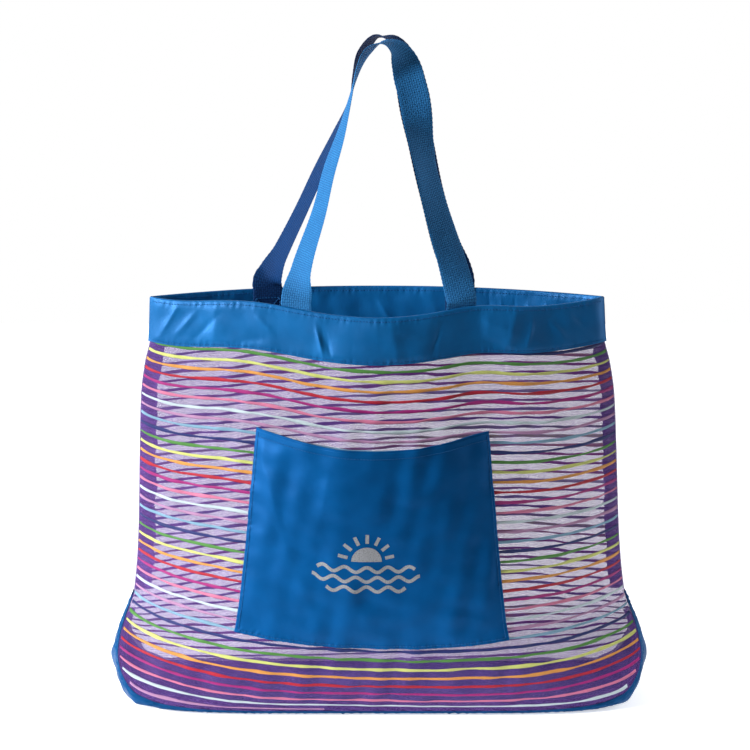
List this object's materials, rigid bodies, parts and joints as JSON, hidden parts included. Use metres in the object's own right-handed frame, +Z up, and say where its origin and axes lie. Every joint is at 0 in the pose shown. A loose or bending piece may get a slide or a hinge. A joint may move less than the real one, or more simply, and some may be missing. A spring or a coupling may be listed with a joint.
{
  "type": "beach bag",
  "caption": "Open-top striped mesh tote bag with folded rim band, front patch pocket, boat-shaped gusset and webbing loop handles.",
  "frame": {"origin": "on the floor under the middle of the gusset's flat underside", "axes": "+Z up, +X to the right seen from the front, +Y towards the back; the pocket faces -Y"},
  "size_m": [0.5482, 0.1748, 0.6778],
  "materials": {
    "striped_mesh": "open net with woven colour stripes",
    "blue_nylon": "semi-gloss coated nylon",
    "blue_webbing": "matt ribbed webbing",
    "blue_thread": "matt sewing thread"
  },
  "bodies": {
    "bag": {"front_mesh_panel": "striped_mesh", "back_mesh_panel": "striped_mesh", "side_seam_left": "striped_mesh", "side_seam_right": "striped_mesh", "bottom_seam_front": "striped_mesh", "bottom_seam_back": "striped_mesh", "rim_band_front": "blue_nylon", "rim_band_back": "blue_nylon", "bottom_gusset": "blue_nylon", "front_pocket": "blue_nylon", "pocket_hem": "blue_nylon", "handle_tail_front_left": "blue_webbing", "handle_tail_front_right": "blue_webbing", "handle_tail_back_left": "blue_webbing", "handle_tail_back_right": "blue_webbing", "band_stitch_lower_front": "blue_thread", "band_stitch_lower_back": "blue_thread", "band_stitch_rim_front": "blue_thread", "band_stitch_rim_back": "blue_thread", "pocket_stitching": "blue_thread", "pocket_hem_stitching": "blue_thread", "tail_stitch_front_left": "blue_thread", "tail_stitch_front_right": "blue_thread", "tail_stitch_back_left": "blue_thread", "tail_stitch_back_right": "blue_thread"},
    "front_loop": {"handle_front": "blue_webbing"},
    "back_loop": {"handle_back": "blue_webbing"}
  },
  "joints": [
    {"name": "front_handle_fold", "type": "hinge", "parent": "bag", "child": "front_loop", "pos_m": [0, -0.04809, 0.4182], "axis": [0.9997, 0.0239, 0.0012], "range_deg": [0, 165]},
    {"name": "back_handle_fold", "type": "hinge", "parent": "bag", "child": "back_loop", "pos_m": [0, 0.05582, 0.41723], "axis": [-0.9996, -0.0288, 0.001], "range_deg": [0, 165]}
  ]
}
